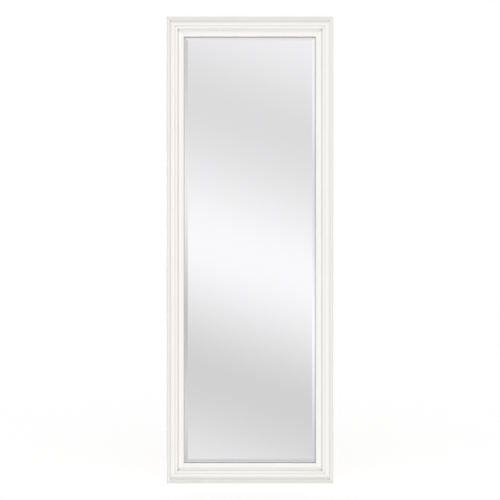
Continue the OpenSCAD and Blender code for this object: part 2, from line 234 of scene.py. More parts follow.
def moulding_member(name, ends, along_rail, lacquer_ends, sight_edge_shade):
    """One member between two mitres: lacquered in front, dark in the rebate, bare behind."""
    painted = painted_outline(lacquer_ends)
    wall = stile_face - rebate_width
    rebate = [(stile_face, ledge_height), (wall, ledge_height), (wall, 0)]
    bare = [(across, 0) for across in (0.012, 0.006, 0.002)]
    outline = painted + rebate + bare
    finishes = [0] * (len(painted) - 1) + [2] * len(rebate) + [1] * (len(bare) + 1)
    overspray = [1.0] + [0.0] * (len(outline) - 3) + [0.45, 0.8]
    mesh = bmesh.new()
    shade_and_dust_layer = mesh.verts.layers.float.new("crease_dust")
    spray_layer = mesh.verts.layers.float.new("overspray")
    near_mitre = [(0, 1.0), (0.0012, 0.9), (0.0035, 0.25), (0.008, 0)]
    places = [(ends[0], inwards, joint) for inwards, joint in near_mitre]
    places += [(ends[1], inwards, joint) for inwards, joint in reversed(near_mitre)]
    rows = []
    for (end_x, end_z), inwards, joint in places:
        row = []
        for i, (across, height) in enumerate(outline):
            x, z = mitre_end(across, end_x, end_z, along_rail, inwards)
            vert = mesh.verts.new((x, back_plane - height, z))
            # Painted shade for the lacquer: darker down each crease and over the less lit faces, with dust
            # gathered at the mitres
            hollow = hollow_at(painted, i) if i < len(painted) else 0
            on_face = painted_face_shade(across, height, along_rail, sight_edge_shade) + gathered_dust(across, joint)
            vert[shade_and_dust_layer] = hollow * (0.6 + 1.6 * joint) + on_face
            vert[spray_layer] = overspray[i]
            row.append(vert)
        rows.append(row)
    for here, there in zip(rows, rows[1:]):
        for strip, finish in zip(join_rows(mesh, here, there), finishes):
            strip.material_index = finish
            strip.smooth = finish == 0
    for row in (rows[0], rows[-1]):
        mesh.faces.new(row).material_index = 1
    return finish_mesh(mesh, name)


def nail_slots():
    """V-shaped prisms, one for each mitre nail, which cut its slot into the backs."""
    arm = 0.00525
    half = 0.0003
    depth = 0.0104
    above = 0.001
    c = math.sqrt(0.5)
    point = half / c
    v_shape = [
        (point, 0), (-arm * c + half * c, arm * c + half * c), (-arm * c - half * c, arm * c - half * c),
        (-point, 0), (-arm * c - half * c, half * c - arm * c), (-arm * c + half * c, -arm * c - half * c),
    ]
    turn = math.atan2(rail_face, stile_face)
    mesh = bmesh.new()
    for side_x, side_z, along in product((-1, 1), (-1, 1), (0.020, 0.045)):
        loops = []
        for y in (back_plane - depth, back_plane + above):
            loop = []
            for u, v in v_shape:
                inward_x = along + u * math.cos(turn) - v * math.sin(turn)
                inward_z = along * rail_face / stile_face + u * math.sin(turn) + v * math.cos(turn)
                x = side_x * (frame_width / 2 - inward_x)
                z = middle_height + side_z * (frame_height / 2 - inward_z)
                loop.append(mesh.verts.new((x, y, z)))
            loops.append(loop)
        join_rows(mesh, *loops)
        mesh.faces.new(loops[0])
        mesh.faces.new(loops[1])
    for face in mesh.faces:
        face.material_index = 1
    return finish_mesh(mesh, "nail_slots")


def cut_from(piece, cutter):
    """Cuts the cutter's shape out of a piece for good, and takes the cutter away."""
    cut = piece.modifiers.new("cut", "BOOLEAN")
    cut.operation = "DIFFERENCE"
    cut.solver = "EXACT"
    cut.object = cutter
    bpy.context.view_layer.update()
    evaluated = piece.evaluated_get(bpy.context.evaluated_depsgraph_get())
    data = bpy.data.meshes.new_from_object(evaluated)
    piece.modifiers.remove(cut)
    piece.data = data
    bpy.context.scene.collection.objects.unlink(cutter)


def new_material(name):
    """A material with a Principled BSDF."""
    material = bpy.data.materials.new(name)
    material.use_nodes = True
    return material, material.node_tree, material.node_tree.nodes["Principled BSDF"]


def feed(tree, value, socket):
    """Links a value to a socket, or sets the socket to a plain number or colour."""
    if isinstance(value, (int, float)):
        socket.default_value = value
    elif isinstance(value, tuple):
        socket.default_value = (*value, 1)
    else:
        tree.links.new(value, socket)


def math_node(tree, operation, first, second=0):
    """A Math node on two values."""
    node = tree.nodes.new("ShaderNodeMath")
    node.operation = operation
    feed(tree, first, node.inputs[0])
    feed(tree, second, node.inputs[1])
    return node.outputs[0]


def plus(tree, first, second):
    """The sum of two values."""
    return math_node(tree, "ADD", first, second)


def times(tree, first, second):
    """The product of two values."""
    return math_node(tree, "MULTIPLY", first, second)


def mix_colours(tree, factor, first, second):
    """A Mix node on two colours."""
    node = tree.nodes.new("ShaderNodeMix")
    node.data_type = "RGBA"
    for value, i in ((factor, 0), (first, 6), (second, 7)):
        feed(tree, value, node.inputs[i])
    return node.outputs[2]


def stretch(tree, value, low, high, start=0.0, end=1.0, eased=False):
    """Maps a value that runs from start to end onto low to high."""
    node = tree.nodes.new("ShaderNodeMapRange")
    node.interpolation_type = "SMOOTHSTEP" if eased else "LINEAR"
    sockets = ("Value", "From Min", "From Max", "To Min", "To Max")
    for socket, given in zip(sockets, (value, start, end, low, high)):
        feed(tree, given, node.inputs[socket])
    return node.outputs["Result"]


def noise(tree, place, scale, detail):
    """Soft noise, as fine as its scale says."""
    node = tree.nodes.new("ShaderNodeTexNoise")
    for socket, value in (("Vector", place), ("Scale", scale), ("Detail", detail)):
        feed(tree, value, node.inputs[socket])
    return node.outputs["Fac"]


def own_axes(tree, space="Object"):
    """The X, Y and Z of the object's own space, or of the direction that the world is seen in."""
    coordinates = tree.nodes.new("ShaderNodeTexCoord")
    axes = tree.nodes.new("ShaderNodeSeparateXYZ")
    feed(tree, coordinates.outputs[space], axes.inputs[0])
    return axes.outputs


def new_group(name, inputs, outputs):
    """A shader node group with plain number inputs and outputs, besides a Vector."""
    group = bpy.data.node_groups.new(name, "ShaderNodeTree")
    for socket in inputs:
        kind = "NodeSocketVector" if socket == "Vector" else "NodeSocketFloat"
        group.interface.new_socket(socket, in_out="INPUT", socket_type=kind)
    for socket in outputs:
        group.interface.new_socket(socket, in_out="OUTPUT", socket_type="NodeSocketFloat")
    return group, group.nodes.new("NodeGroupInput"), group.nodes.new("NodeGroupOutput")


def uneven_group():
    """Cloud is a broad, soft variation and Grain a fine one, both from 0 to 1."""
    group, start, end = new_group("uneven", ("Vector", "Broad Scale", "Fine Scale"), ("Cloud", "Grain"))
    for scale, detail, output in (("Broad Scale", 3, "Cloud"), ("Fine Scale", 2, "Grain")):
        waves = noise(group, start.outputs["Vector"], start.outputs[scale], detail)
        feed(group, stretch(group, waves, 0, 1, 0.25, 0.75), end.inputs[output])
    return group


def specks_group():
    """Small round specks, strewn at random. Amount is the share of places that hold one."""
    group, start, end = new_group("specks", ("Vector", "Scale", "Size", "Amount"), ("Specks",))
    cells = group.nodes.new("ShaderNodeTexVoronoi")
    feed(group, start.outputs["Vector"], cells.inputs["Vector"])
    feed(group, start.outputs["Scale"], cells.inputs["Scale"])
    lot = group.nodes.new("ShaderNodeSeparateColor")
    feed(group, cells.outputs["Color"], lot.inputs["Color"])
    chosen = math_node(group, "LESS_THAN", lot.outputs["Red"], start.outputs["Amount"])
    radius = times(group, start.outputs["Size"], lot.outputs["Green"])
    inside = math_node(group, "SUBTRACT", 1, math_node(group, "DIVIDE", cells.outputs["Distance"], radius))
    soft = times(group, math_node(group, "MAXIMUM", inside, 0), 3)
    feed(group, times(group, math_node(group, "MINIMUM", soft, 1), chosen), end.inputs["Specks"])
    return group


def place_group(tree, group, values):
    """Puts a group in a material, reading the object's own coordinates, and returns what it gives."""
    node = tree.nodes.new("ShaderNodeGroup")
    node.node_tree = group
    if "Vector" in node.inputs:
        coordinates = tree.nodes.new("ShaderNodeTexCoord")
        feed(tree, coordinates.outputs["Object"], node.inputs["Vector"])
    for socket, value in values.items():
        feed(tree, value, node.inputs[socket])
    return node.outputs


def set_finish(tree, shader, colour, roughness, height, strength, depth):
    """Feeds the shader its colour, its roughness, and the relief of its surface."""
    feed(tree, colour, shader.inputs["Base Color"])
    feed(tree, roughness, shader.inputs["Roughness"])
    bump = tree.nodes.new("ShaderNodeBump")
    for socket, value in (("Height", height), ("Strength", strength), ("Distance", depth)):
        feed(tree, value, bump.inputs[socket])
    feed(tree, bump.outputs["Normal"], shader.inputs["Normal"])


def painted_on(tree, name):
    """A value that the mesh carries for each of its points."""
    node = tree.nodes.new("ShaderNodeAttribute")
    node.attribute_name = name
    return node.outputs["Fac"]


uneven = uneven_group()
specks = specks_group()
lacquer_white = (0.915, 0.908, 0.881)


def film_over(tree, broad, fine):
    """The broad cloud and the fine grain of a finish, by how many there are to the metre."""
    return place_group(tree, uneven, {"Broad Scale": broad, "Fine Scale": fine})


def white_lacquer():
    """Satin lacquer: a fine orange peel, a little cloudiness, painted shade in the creases and on the less
    lit faces, and dust at the mitres.
    """
    material, tree, shader = new_material("white_satin_lacquer")
    cloud, peel = film_over(tree, 7, 620)
    nibs = place_group(tree, specks, {"Scale": 90, "Size": 0.06, "Amount": 0.08})[0]
    cloudy = mix_colours(tree, cloud, lacquer_white, (0.900, 0.892, 0.864))
    # Painted shade from the mesh, darkening the creases and less lit faces toward warm grey, with dust at
    # the mitres
    shade_and_dust = times(tree, painted_on(tree, "crease_dust"), 0.46)
    shaded = mix_colours(tree, shade_and_dust, cloudy, (0.40, 0.375, 0.352))
    colour = mix_colours(tree, times(tree, nibs, 0.12), shaded, (0.55, 0.52, 0.47))
    height = plus(tree, peel, times(tree, nibs, 0.6))
    set_finish(tree, shader, colour, stretch(tree, cloud, 0.34, 0.43), height, 0.10, 0.00025)
    return material


def wood_grain_group():
    """Bands are the growth rings of a plain-sawn face and Pores its fine fibres."""
    group, start, end = new_group("wood_grain", ("Along", "Across", "Deep"), ("Bands", "Pores"))

    def drawn_out(along, across, detail):
        """Noise that changes more slowly along the grain than across it."""
        space = group.nodes.new("ShaderNodeCombineXYZ")
        for source, scale, axis in (("Along", along, "X"), ("Across", across, "Y"), ("Deep", across, "Z")):
            feed(group, times(group, start.outputs[source], scale), space.inputs[axis])
        return noise(group, space.outputs[0], 1.0, detail)

    rings = times(group, drawn_out(1.6, 14, 2), 46)
    late_wood = math_node(group, "POWER", math_node(group, "PINGPONG", rings, 1), 2.2)
    feed(group, late_wood, end.inputs["Bands"])
    feed(group, stretch(group, drawn_out(28, 1300, 1), 0, 1, 0.3, 0.7), end.inputs["Pores"])
    return group


wood_grain = wood_grain_group()


def bare_pine(name, along, across):
    """Planed pine whose grain runs with the member, with white overspray at the outer edge."""
    material, tree, shader = new_material(name)
    axes = own_axes(tree)
    directions = {"Along": axes[along], "Across": axes[across], "Deep": axes["Y"]}
    bands, pores = place_group(tree, wood_grain, directions)
    cloud, grain = film_over(tree, 5, 260)
    clean = mix_colours(tree, bands, (0.66, 0.50, 0.315), (0.50, 0.325, 0.165))
    aged = mix_colours(tree, stretch(tree, cloud, 0, 0.35), clean, (0.44, 0.32, 0.20))
    fibrous = mix_colours(tree, stretch(tree, pores, 0, 0.22), aged, (0.30, 0.19, 0.10))
    broken = plus(tree, painted_on(tree, "overspray"), stretch(tree, grain, -0.45, 0.05))
    colour = mix_colours(tree, stretch(tree, broken, 0, 0.85, 0.1, 0.5), fibrous, lacquer_white)
    height = plus(tree, pores, times(tree, bands, 0.5))
    set_finish(tree, shader, colour, stretch(tree, pores, 0.62, 0.78), height, 0.30, 0.0002)
    return material


def rebate_paint():
    """Thin black paint, brushed into the rebate."""
    material, tree, shader = new_material("black_rebate_paint")
    cloud, grain = film_over(tree, 40, 900)
    colour = mix_colours(tree, cloud, (0.022, 0.022, 0.024), (0.05, 0.047, 0.043))
    set_finish(tree, shader, colour, stretch(tree, grain, 0.5, 0.75), grain, 0.15, 0.0002)
    return material


def put_finishes(piece, finishes):
    """Puts materials in a piece's slots, in order."""
    slots = piece.data.materials
    for i, finish in enumerate(finishes):
        if i < len(slots):
            slots[i] = finish
        else:
            slots.append(finish)


lacquer = white_lacquer()
black_paint = rebate_paint()
rail_finishes = [lacquer, bare_pine("bare_pine_rail", "X", "Z"), black_paint]
stile_finishes = [lacquer, bare_pine("bare_pine_stile", "Z", "X"), black_paint]
# For each member: its two mitres, whether it is a rail, how far up the sight wall the lacquer ends, and how
# much painted shade lies at its sight edge. Below the lacquer the rebate's black begins, and its height
# differs per member to paint the shade the glass shows along the sight line
members = {
    "top_rail": ([(-1, 1), (1, 1)], True, 0.0112, 0.25),
    "bottom_rail": ([(-1, -1), (1, -1)], True, 0.0109, 0.35),
    "left_stile": ([(-1, -1), (-1, 1)], False, 0.0114, 1.05),
    "right_stile": ([(1, -1), (1, 1)], False, 0.0135, 0.2),
}
for node, (ends, along_rail, lacquer_ends, sight_edge_shade) in members.items():
    member = moulding_member(node + "_moulding", ends, along_rail, lacquer_ends, sight_edge_shade)
    put_finishes(member, rail_finishes if along_rail else stile_finishes)
    cut_from(member, nail_slots())
    member.data.set_sharp_from_angle(angle=math.radians(32))
    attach(member, "frame")
    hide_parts(node)


# Mitre nails, two across each mitre. Each is a strip of sheared spring steel, folded to a V
# and driven in from the back until it lies just below the wood.
def strands_group(name, turns, length, faintest, fullest):
    """Thin strands that lie flat on the mirror's back, each way in turn, from 0 to 1. They are
    as thick as 1 / Scale and so many times as long."""
    group, start, end = new_group(name, ("Vector", "Scale", "Amount"), ("Strands",))
    total = 0.0
    for turn in turns:
        mapping = group.nodes.new("ShaderNodeMapping")
        mapping.vector_type = "TEXTURE"
        mapping.inputs["Location"].default_value = (turn, 0, turn)
        mapping.inputs["Rotation"].default_value = (0, turn, 0)
        mapping.inputs["Scale"].default_value = (length, 1, 1)
        feed(group, start.outputs["Vector"], mapping.inputs["Vector"])
        streaks = noise(group, mapping.outputs[0], start.outputs["Scale"], 1)
        total = math_node(group, "MAXIMUM", stretch(group, streaks, 0, 1, faintest, fullest), total)
    feed(group, times(group, total, start.outputs["Amount"]), end.inputs["Strands"])
    return group


scratches = strands_group("scratches", (0.4, -0.7), 30, 0.66, 0.78)
rolled_grain = strands_group("rolled_grain", (0.05,), 60, 0.35, 0.65)


def plated_steel(name, bright, dull, smooth, rough, cloud_scale):
    """Plated sheet or wire: cloudy plating over rolled grain, scratched and duller in places."""
    material, tree, shader = new_material(name)
    shader.inputs["Metallic"].default_value = 1
    cloud, grain = film_over(tree, cloud_scale, 3200)
    marks = place_group(tree, scratches, {"Scale": 3800, "Amount": 0.8})[0]
    rolled = place_group(tree, rolled_grain, {"Scale": 4500, "Amount": 1})[0]
    cloudy = mix_colours(tree, cloud, bright, dull)
    streaky = mix_colours(tree, times(tree, rolled, 0.35), cloudy, dull)
    colour = mix_colours(tree, times(tree, marks, 0.4), streaky, bright)
    roughness = plus(tree, stretch(tree, cloud, smooth, rough), times(tree, rolled, 0.08))
    scored = math_node(tree, "SUBTRACT", times(tree, rolled, 0.5), marks)
    set_finish(tree, shader, colour, roughness, plus(tree, scored, grain), 0.10, 0.00006)
    return material


nail_steel = plated_steel("oiled_nail_steel", (0.40, 0.39, 0.38), (0.24, 0.22, 0.21), 0.34, 0.52, 300)
put_finishes(nodes["mitre_nails"], [nail_steel])


# Felt strips, stuck to the ledge of the rebate. They are black needled felt, cut 4.5 mm wide,
# and keep the glass off the wood.
fibres = strands_group("fibres", (0.2, 1.1, 2.0, 2.8), 9, 0.5, 0.7)


def black_felt():
    """Needled felt: dark, with finer grey hairs that lie every way."""
    material, tree, shader = new_material("black_felt")
    shader.inputs["Sheen Weight"].default_value = 0.25
    shader.inputs["Sheen Roughness"].default_value = 0.6
    cloud, grain = film_over(tree, 160, 2600)
    hairs = place_group(tree, fibres, {"Scale": 7000, "Amount": 1})[0]
    colour = mix_colours(tree, hairs, (0.03, 0.03, 0.032), (0.12, 0.12, 0.125))
    set_finish(tree, shader, colour, stretch(tree, cloud, 0.85, 1.0), plus(tree, hairs, grain), 0.7, 0.0002)
    return material


felt = black_felt()
for side in ("top", "bottom", "left", "right"):
    put_finishes(nodes["felt_strip_" + side], [felt])


# Setting blocks, two of them. They are strips of black rubber on the floor of the rebate,
# and the glass stands on them.
def moulded_rubber(name, colour, bloom):
    """Matt rubber, with a pale bloom where it has been handled."""
    material, tree, shader = new_material(name)
    cloud, grain = film_over(tree, 120, 1800)
    grit = place_group(tree, specks, {"Scale": 700, "Size": 0.2, "Amount": 0.12})[0]
    cloudy = mix_colours(tree, stretch(tree, cloud, 0, 0.6), colour, bloom)
    gritty = mix_colours(tree, times(tree, grit, 0.5), cloudy, bloom)
    set_finish(tree, shader, gritty, stretch(tree, cloud, 0.55, 0.8), grain, 0.2, 0.0002)
    return material


black_rubber = moulded_rubber("black_rubber", (0.030, 0.030, 0.031), (0.10, 0.10, 0.10))
put_finishes(nodes["setting_blocks"], [black_rubber])


# The mirror pane. It is 5 mm float glass, silvered and painted behind, its rim ground and its
# face bevelled and polished all round. Light that goes through the bevel and back turns less
# than the ground slope alone would turn it, so the slope here is the one that shows.
glass_low, glass_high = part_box("mirror_glass")
glass_back = glass_high.y
glass_thickness = glass_high.y - glass_low.y
rim_thickness = 0.0028
hidden_rim = 0.0065         # the lip covers this much of the pane
visible_bevel = 0.0125
bevel_slope = math.radians(3.4)


def stepped_pane(name, steps):
    """A pane as a stack of rectangles: how far in from the rim, how high, and its finish."""
    mesh = bmesh.new()
    loops = []
    for inset, height, _ in steps:
        y = glass_back - height
        left, right = glass_low.x + inset, glass_high.x - inset
        bottom, top = glass_low.z + inset, glass_high.z - inset
        corners = [(left, y, bottom), (right, y, bottom), (right, y, top), (left, y, top)]
        loops.append([mesh.verts.new(corner) for corner in corners])
    painted_back = mesh.faces.new(loops[0])
    painted_back.material_index = 1
    mesh.faces.new(loops[-1])
    for lower, upper, step in zip(loops, loops[1:], steps):
        for strip in join_rows(mesh, lower, upper):
            strip.material_index = step[2]
    return finish_mesh(mesh, name)


def silvered_glass():
    """Polished glass over silver, faintly clouded, with painted shade that darkens it along the frame at the
    right and the top."""
    material, tree, shader = new_material("silvered_glass")
    shader.inputs["Metallic"].default_value = 1
    cloud = film_over(tree, 3, 40)[0]
    clean = mix_colours(tree, cloud, (0.974, 0.970, 0.985), (0.970, 0.966, 0.982))
    axes = own_axes(tree)
    sight_x = glass_high.x - hidden_rim
    sight_z = glass_high.z - hidden_rim
    # How far from the frame the painted shade starts, how far it is full, and how much there is
    side_start, side_full, side_shade_amount = 0.0065, 0.0040, 0.20
    head_start, head_full, head_shade_amount = 0.0080, 0.0050, 0.10
    at_right = stretch(tree, axes["X"], 0, side_shade_amount, sight_x - side_start, sight_x - side_full)
    at_top = stretch(tree, axes["Z"], 0, head_shade_amount, sight_z - head_start, sight_z - head_full)
    painted_edge_shade = math_node(tree, "MAXIMUM", at_right, at_top)
    # Painted shade: the silver darkens towards the frame at the right and the top
    feed(tree, mix_colours(tree, painted_edge_shade, clean, (0.10, 0.10, 0.105)), shader.inputs["Base Color"])
    feed(tree, stretch(tree, cloud, 0.004, 0.014), shader.inputs["Roughness"])
    return material


def ground_rim():
    """The ground edge of float glass, frosted and green."""
    material, tree, shader = new_material("ground_glass_rim")
    cloud, grain = film_over(tree, 200, 2500)
    colour = mix_colours(tree, cloud, (0.42, 0.52, 0.47), (0.55, 0.63, 0.59))
    set_finish(tree, shader, colour, stretch(tree, grain, 0.4, 0.65), grain, 0.3, 0.0001)
    return material


def backing_paint():
    """The grey paint that seals the silver."""
    material, tree, shader = new_material("grey_backing_paint")
    cloud, grain = film_over(tree, 9, 700)
    colour = mix_colours(tree, cloud, (0.20, 0.215, 0.225), (0.25, 0.26, 0.265))
    set_finish(tree, shader, colour, stretch(tree, cloud, 0.35, 0.5), grain, 0.1, 0.0001)
    return material


bevel_foot = glass_thickness - visible_bevel * math.tan(bevel_slope)
ridge_gap = 0.0006          # between the ledge and the pane's ridge, which the lip hides
under_lip = ledge_height - (back_plane - glass_back) - ridge_gap
bevel_top = hidden_rim + visible_bevel
pane = stepped_pane("bevelled_mirror_pane", [
    (0.0005, 0, 2), (0, 0.0004, 2), (0, rim_thickness - 0.0003, 2), (0.0004, rim_thickness, 0),
    (hidden_rim - 0.0012, under_lip, 0), (hidden_rim, bevel_foot, 0),
    (bevel_top - 0.0003, glass_thickness - 0.00003, 0), (bevel_top, glass_thickness, 0),
])
put_finishes(pane, [silvered_glass(), backing_paint(), ground_rim()])
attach(pane, "frame")
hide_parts("mirror_glass")


# The cushion sheet, of soft grey board, cut to the rebate. It keeps the backing board from
# scratching the paint behind the silver.
def grey_board():
    """Pulp board, with paler fibres and dark flecks of old print."""
    material, tree, shader = new_material("grey_board")
    cloud, grain = film_over(tree, 12, 900)
    flecks = place_group(tree, specks, {"Scale": 260, "Size": 0.35, "Amount": 0.25})[0]
    pulp_fibres = place_group(tree, fibres, {"Scale": 3500, "Amount": 0.5})[0]
    pulp = mix_colours(tree, cloud, (0.45, 0.43, 0.40), (0.38, 0.365, 0.34))
    fibrous = mix_colours(tree, pulp_fibres, pulp, (0.55, 0.53, 0.50))
    colour = mix_colours(tree, times(tree, flecks, 0.6), fibrous, (0.20, 0.19, 0.18))
    set_finish(tree, shader, colour, stretch(tree, grain, 0.85, 0.98), grain, 0.3, 0.0003)
    return material


put_finishes(nodes["cushion_sheet"], [grey_board()])


# The backing board. It is 3 mm brown hardboard, smooth side in and screen side out, sawn to
# the rebate, with its edges eased by hand.
screen_wires_per_metre = 600


def outward(points, i):
    """The direction in which a corner of an anticlockwise outline moves when it grows."""
    here = Vector(points[i])
    before = (here - Vector(points[i - 1])).normalized()
    after = (Vector(points[(i + 1) % len(points)]) - here).normalized()
    first = Vector((before.y, -before.x))
    second = Vector((after.y, -after.x))
    middle = (first + second).normalized()
    return middle / max(0.5, middle.dot(first))


def add_sheet(mesh, outlines, low, high, edge, place, steps=3):
    """Adds a flat sheet with rounded edges. The outline runs anticlockwise, holes clockwise."""
    levels = []
    for i in range(steps + 1):
        turn = math.radians(90 * i / steps)
        levels.append((edge * (1 - math.sin(turn)), low + edge * (1 - math.cos(turn))))
    levels += [(inset, high + low - height) for inset, height in reversed(levels)]
    rings = []
    for outline in outlines:
        around = [outward(outline, i) for i in range(len(outline))]
        rows = []
        for inset, height in levels:
            row = []
            for point, grow in zip(outline, around):
                flat = Vector(point) - inset * grow
                row.append(mesh.verts.new(place(flat.x, flat.y, height)))
            rows.append(row)
        for lower, upper in zip(rows, rows[1:]):
            join_rows(mesh, lower, upper, smooth=True)
        rings.append(rows)
    flat_outlines = [[(*(Vector(p) - edge * outward(outline, i)), 0) for i, p in enumerate(outline)]
                     for outline in outlines]
    for level in (0, -1):
        corners = [vert for rows in rings for vert in rows[level]]
        for triangle in tessellate_polygon(flat_outlines):
            mesh.faces.new([corners[i] for i in triangle])


def brown_hardboard():
    """Pressed wood fibre: brown and mottled, with light and dark fibres and a screen's print."""
    material, tree, shader = new_material("brown_hardboard")
    cloud, grain = film_over(tree, 6, 160)
    light_fibres = place_group(tree, fibres, {"Scale": 1500, "Amount": 0.55})[0]
    dark_fibres = place_group(tree, fibres, {"Scale": 900, "Amount": 0.6})[0]
    chips = place_group(tree, specks, {"Scale": 240, "Size": 0.5, "Amount": 0.16})[0]
    scuffs = place_group(tree, scratches, {"Scale": 420, "Amount": 0.5})[0]
    cloudy = mix_colours(tree, cloud, (0.205, 0.112, 0.056), (0.150, 0.078, 0.038))
    mottled = mix_colours(tree, stretch(tree, grain, 0, 0.5), cloudy, (0.115, 0.060, 0.030))
    dark = mix_colours(tree, dark_fibres, mottled, (0.075, 0.038, 0.018))
    light = mix_colours(tree, light_fibres, dark, (0.33, 0.205, 0.115))
    flecked = mix_colours(tree, times(tree, chips, 0.6), light, (0.05, 0.026, 0.013))
    colour = mix_colours(tree, scuffs, flecked, (0.30, 0.20, 0.125))
    axes = own_axes(tree)
    wave = 2 * math.pi * screen_wires_per_metre
    across = math_node(tree, "SINE", times(tree, axes["X"], wave))
    along = math_node(tree, "SINE", times(tree, axes["Z"], wave))
    height = plus(tree, times(tree, across, along), light_fibres)
    set_finish(tree, shader, colour, stretch(tree, grain, 0.62, 0.82), height, 0.5, 0.0003)
    return material


low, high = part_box("backing_board")
sawn = bmesh.new()
board_outline = [(low.x, low.z), (high.x, low.z), (high.x, high.z), (low.x, high.z)]
add_sheet(sawn, [board_outline], low.y, high.y, 0.0005, lambda x, z, y: (x, y, z))
board = finish_mesh(sawn, "hardboard_back")
put_finishes(board, [brown_hardboard()])
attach(board, "frame")
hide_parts("backing_board")


# Turn buttons, ten of them, which hold the backing board in. Each is stamped from zinc-plated
# sheet, with a stiffening rib pressed along it, and turns on its own screw.
joints = frame["record"]["behaviour"]["joints"]
joint_places = {joint["child"]: Vector(joint["pos_m"]) for joint in joints}
plain_hole_radius = 0.00205


def nodes_named(start):
    """The nodes of a group of like pieces, without the one that holds their screws."""
    return [node for node in nodes if node.startswith(start) and not node.endswith("_screws")]


def circle(centre, radius, steps=28):
    """A hole's outline, clockwise."""
    return arc(centre, (radius, radius), 0, 360, steps)[-2::-1]


def seen_from_behind(x, z, turn=0.0):
    """Maps a flat layout, turned by an angle, to the frame's back as one sees it from behind."""
    c, s = math.cos(turn), math.sin(turn)

    def place(across, up, out):
        return x - (across * c - up * s), back_plane + out, z + across * s + up * c
    return place


def add_rib(mesh, start, end, half_width, rise, top, place):
    """Adds a rounded rib with soft ends, sunk a little into the sheet that carries it."""
    sunk = 0.00003
    long_steps, cross_steps = 44, 14
    grid = []
    for i in range(long_steps + 1):
        x = start - half_width + (end - start + 2 * half_width) * i / long_steps
        row = []
        for j in range(cross_steps + 1):
            y = half_width * (2 * j / cross_steps - 1)
            away = math.hypot(x - min(max(x, start), end), y)
            height = rise * (0.5 + 0.5 * math.cos(math.pi * min(1.0, away / half_width))) - sunk
            row.append(mesh.verts.new(place(x, y, top + height)))
        grid.append(row)
    for here, there in zip(grid, grid[1:]):
        join_rows(mesh, here, there, smooth=True, closed=False)
    first_side, last_side = [row[0] for row in grid], [row[-1] for row in reversed(grid)]
    mesh.faces.new(first_side + grid[-1][1:-1] + last_side + grid[0][-2:0:-1])


def turn_button(node):
    """A pointer with a round head, a hole for its screw, and a rib."""
    head, tip, length = 0.0065, 0.0045, 0.027
    lift, sheet = 0.0002, 0.0012
    rib_start, rib_rise, rib_half = 0.0053, 0.0009, 0.0014
    pivot = joint_places[node]
    low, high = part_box(node)
    towards = (low + high) / 2 - pivot
    turn = math.atan2(towards.z, -towards.x)
    place = seen_from_behind(pivot.x, pivot.z, turn)
    flank = math.degrees(math.acos((head - tip) / length))
    outline = arc((0, 0), (head, head), flank, 360 - flank, 36)
    outline += arc((length, 0), (tip, tip), -flank, flank, 24)
    mesh = bmesh.new()
    add_sheet(mesh, [outline, circle((0, 0), plain_hole_radius)], lift, lift + sheet, 0.0003, place)
    add_rib(mesh, rib_start, length, rib_half, rib_rise, lift + sheet, place)
    return finish_mesh(mesh, node + "_stamping")


zinc = plated_steel("zinc_plated_steel", (0.70, 0.71, 0.73), (0.56, 0.575, 0.60), 0.24, 0.40, 90)
button_nodes = nodes_named("turn_button_")
for node in button_nodes:
    button = turn_button(node)
    button.data.set_sharp_from_angle(angle=math.radians(40))
    put_finishes(button, [zinc])
    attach(button, node)
    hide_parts(node)


# The screws, of 3.5 by 14 mm, with cross-recessed pan heads. They are rolled and yellow
# passivated, and bite into the pine: one in each button, four in each plate, two in each strap.
def lathe(mesh, profile, steps, place):
    """Turns a profile of radius and height, which starts and ends on the axis."""
    rows = []
    for radius, height in profile:
        if radius == 0:
            rows.append([mesh.verts.new(place(0, 0, height))])
            continue
        row = []
        for i in range(steps):
            a = 2 * math.pi * i / steps
            row.append(mesh.verts.new(place(radius * math.cos(a), radius * math.sin(a), height)))
        rows.append(row)
    for lower, upper in zip(rows, rows[1:]):
        for i in range(steps):
            j = (i + 1) % steps
            corners = [row[k % len(row)] for row, k in ((lower, i), (lower, j), (upper, j), (upper, i))]
            face = mesh.faces.new(list(dict.fromkeys(corners)))
            face.smooth = True


def straight_up(across, up, out):
    """Leaves a layout as it is drawn."""
    return across, up, out


def screw_head():
    """The head with its cross recess, standing on its underside at the origin."""
    head_radius, rim, top = 0.0035, 0.0009, 0.0024
    dome = arc((0, rim), (head_radius, top - rim), 0, 90, 12)
    mesh = bmesh.new()
    underside = [(0, 0), (head_radius - 0.0002, 0), (head_radius, 0.0002)]
    lathe(mesh, underside + dome[:-1] + [(0, top)], 40, straight_up)
    head = finish_mesh(mesh, "screw_head")
    mesh = bmesh.new()
    depth, above = 0.0013, 0.0006
    loops = []
    for height, half_long, half_wide in ((top - depth, 0.0011, 0.0003), (top + above, 0.0022, 0.00055)):
        a, b = half_long, half_wide
        cross = [(a, -b), (a, b), (b, b), (b, a), (-b, a), (-b, b)]
        cross += [(-x, -y) for x, y in cross]
        loops.append([mesh.verts.new((x, y, height)) for x, y in cross])
    join_rows(mesh, *loops)
    mesh.faces.new(loops[0])
    mesh.faces.new(loops[1])
    cut_from(head, finish_mesh(mesh, "cross_recess"))
    bpy.context.scene.collection.objects.unlink(head)
    return head.data


